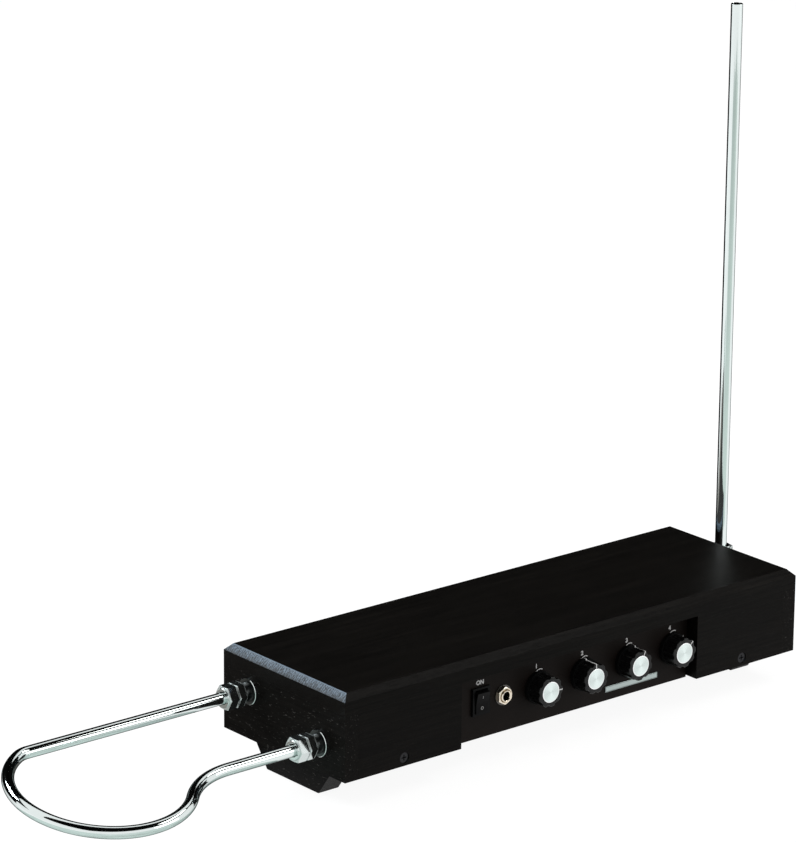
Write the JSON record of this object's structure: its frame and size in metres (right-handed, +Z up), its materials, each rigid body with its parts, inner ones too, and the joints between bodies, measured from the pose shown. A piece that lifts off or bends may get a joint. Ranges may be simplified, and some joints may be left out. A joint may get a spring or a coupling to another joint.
{
  "type": "theremin",
  "caption": "Long low wooden cabinet with a bevelled top on two cleats, a bent loop antenna at one end, a straight upright rod antenna at the other and a recessed panel of knobs.",
  "frame": {"origin": "centre of the stand thread, level with the cabinet's underside, in the middle of its length and depth", "axes": "+X towards the rod antenna, -Y towards the player's side with the knobs, +Z up along the rod"},
  "size_m": [0.7379, 0.1624, 0.5255],
  "materials": {
    "stained_wood": "black stain, satin, open grain",
    "zinc_screws": "zinc plated",
    "black_screws": "black oxide",
    "panel_steel": "black powder coat, satin",
    "strip_plate": "satin, bare",
    "black_plastic": "fine matte",
    "jack_plastic": "moulded",
    "jack_nickel": "nickel plate, warm",
    "nickel": "nickel plate",
    "pot_steel": "pressed steel",
    "knob_plastic": "moulded satin",
    "knob_disc": "spun",
    "board_laminate": "solder mask",
    "brass": "turned",
    "chip_plastic": "moulded",
    "capacitor_sleeve": "shrink sleeve",
    "coil_cans": "tinned",
    "heat_sink": "extruded",
    "choke_bobbin": "lacquered winding",
    "lead_red": "insulation",
    "lead_blue": "insulation",
    "lead_yellow": "insulation",
    "fitting_chrome": "nickel chrome plate",
    "antenna_chrome": "polished plate",
    "stand_steel": "black enamel"
  },
  "bodies": {
    "cabinet": {"top_board": "stained_wood", "left_end_board": "stained_wood", "right_end_board": "stained_wood", "back_board": "stained_wood", "front_left_rail": "stained_wood", "front_right_rail": "stained_wood", "base_board": "stained_wood", "left_cleat": "stained_wood", "right_cleat": "stained_wood", "base_screws": "zinc_screws", "cover_screws": "black_screws", "front_panel": "panel_steel", "blank_strip": "strip_plate", "switch_body": "black_plastic", "jack_body": "jack_plastic", "jack_nut": "jack_nickel", "panel_washers": "nickel", "pot_nuts": "nickel", "volume_pot": "pot_steel", "pitch_pot": "pot_steel", "waveform_pot": "pot_steel", "brightness_pot": "pot_steel", "circuit_board": "board_laminate", "board_standoffs": "brass", "board_screws": "zinc_screws", "chips": "chip_plastic", "capacitors": "capacitor_sleeve", "tuning_coils": "coil_cans", "regulator": "heat_sink", "pitch_chokes": "choke_bobbin", "volume_chokes": "choke_bobbin", "power_inlet": "black_plastic", "pitch_leads": "lead_red", "volume_leads": "lead_blue", "panel_leads": "lead_yellow", "volume_fittings": "fitting_chrome", "antenna_washers": "fitting_chrome", "antenna_locknuts": "nickel", "pitch_elbow": "fitting_chrome", "stand_flange": "stand_steel"},
    "volume_control": {"volume_knob": "knob_plastic", "volume_disc": "knob_disc", "volume_shaft": "nickel"},
    "pitch_control": {"pitch_knob": "knob_plastic", "pitch_disc": "knob_disc", "pitch_shaft": "nickel"},
    "waveform_control": {"waveform_knob": "knob_plastic", "waveform_disc": "knob_disc", "waveform_shaft": "nickel"},
    "brightness_control": {"brightness_knob": "knob_plastic", "brightness_disc": "knob_disc", "brightness_shaft": "nickel"},
    "rocker": {"switch_rocker": "black_plastic"},
    "loop": {"loop_tube": "antenna_chrome", "volume_nuts": "fitting_chrome", "volume_ferrules": "brass"},
    "rod": {"pitch_rod": "antenna_chrome", "pitch_nut": "fitting_chrome", "pitch_ferrule": "brass"}
  },
  "joints": [
    {"name": "volume_turn", "type": "hinge", "parent": "cabinet", "child": "volume_control", "pos_m": [-0.032, -0.07, 0.0265], "axis": [0, 1, 0], "range_deg": [-240, 60]},
    {"name": "pitch_turn", "type": "hinge", "parent": "cabinet", "child": "pitch_control", "pos_m": [0.014, -0.07, 0.0265], "axis": [0, 1, 0], "range_deg": [-150, 150]},
    {"name": "waveform_turn", "type": "hinge", "parent": "cabinet", "child": "waveform_control", "pos_m": [0.06, -0.07, 0.0265], "axis": [0, 1, 0], "range_deg": [-172, 128]},
    {"name": "brightness_turn", "type": "hinge", "parent": "cabinet", "child": "brightness_control", "pos_m": [0.106, -0.07, 0.0265], "axis": [0, 1, 0], "range_deg": [-197, 103]},
    {"name": "rocker_tilt", "type": "hinge", "parent": "cabinet", "child": "rocker", "pos_m": [-0.0895, -0.0589, 0.0288], "axis": [-1, 0, 0], "range_deg": [0, 14]},
    {"name": "loop_pull", "type": "slide", "parent": "cabinet", "child": "loop", "axis": [-1, 0, 0], "range_m": [0, 0.06]},
    {"name": "rod_lift", "type": "slide", "parent": "cabinet", "child": "rod", "axis": [0, 0, 1], "range_m": [0, 0.06]}
  ]
}
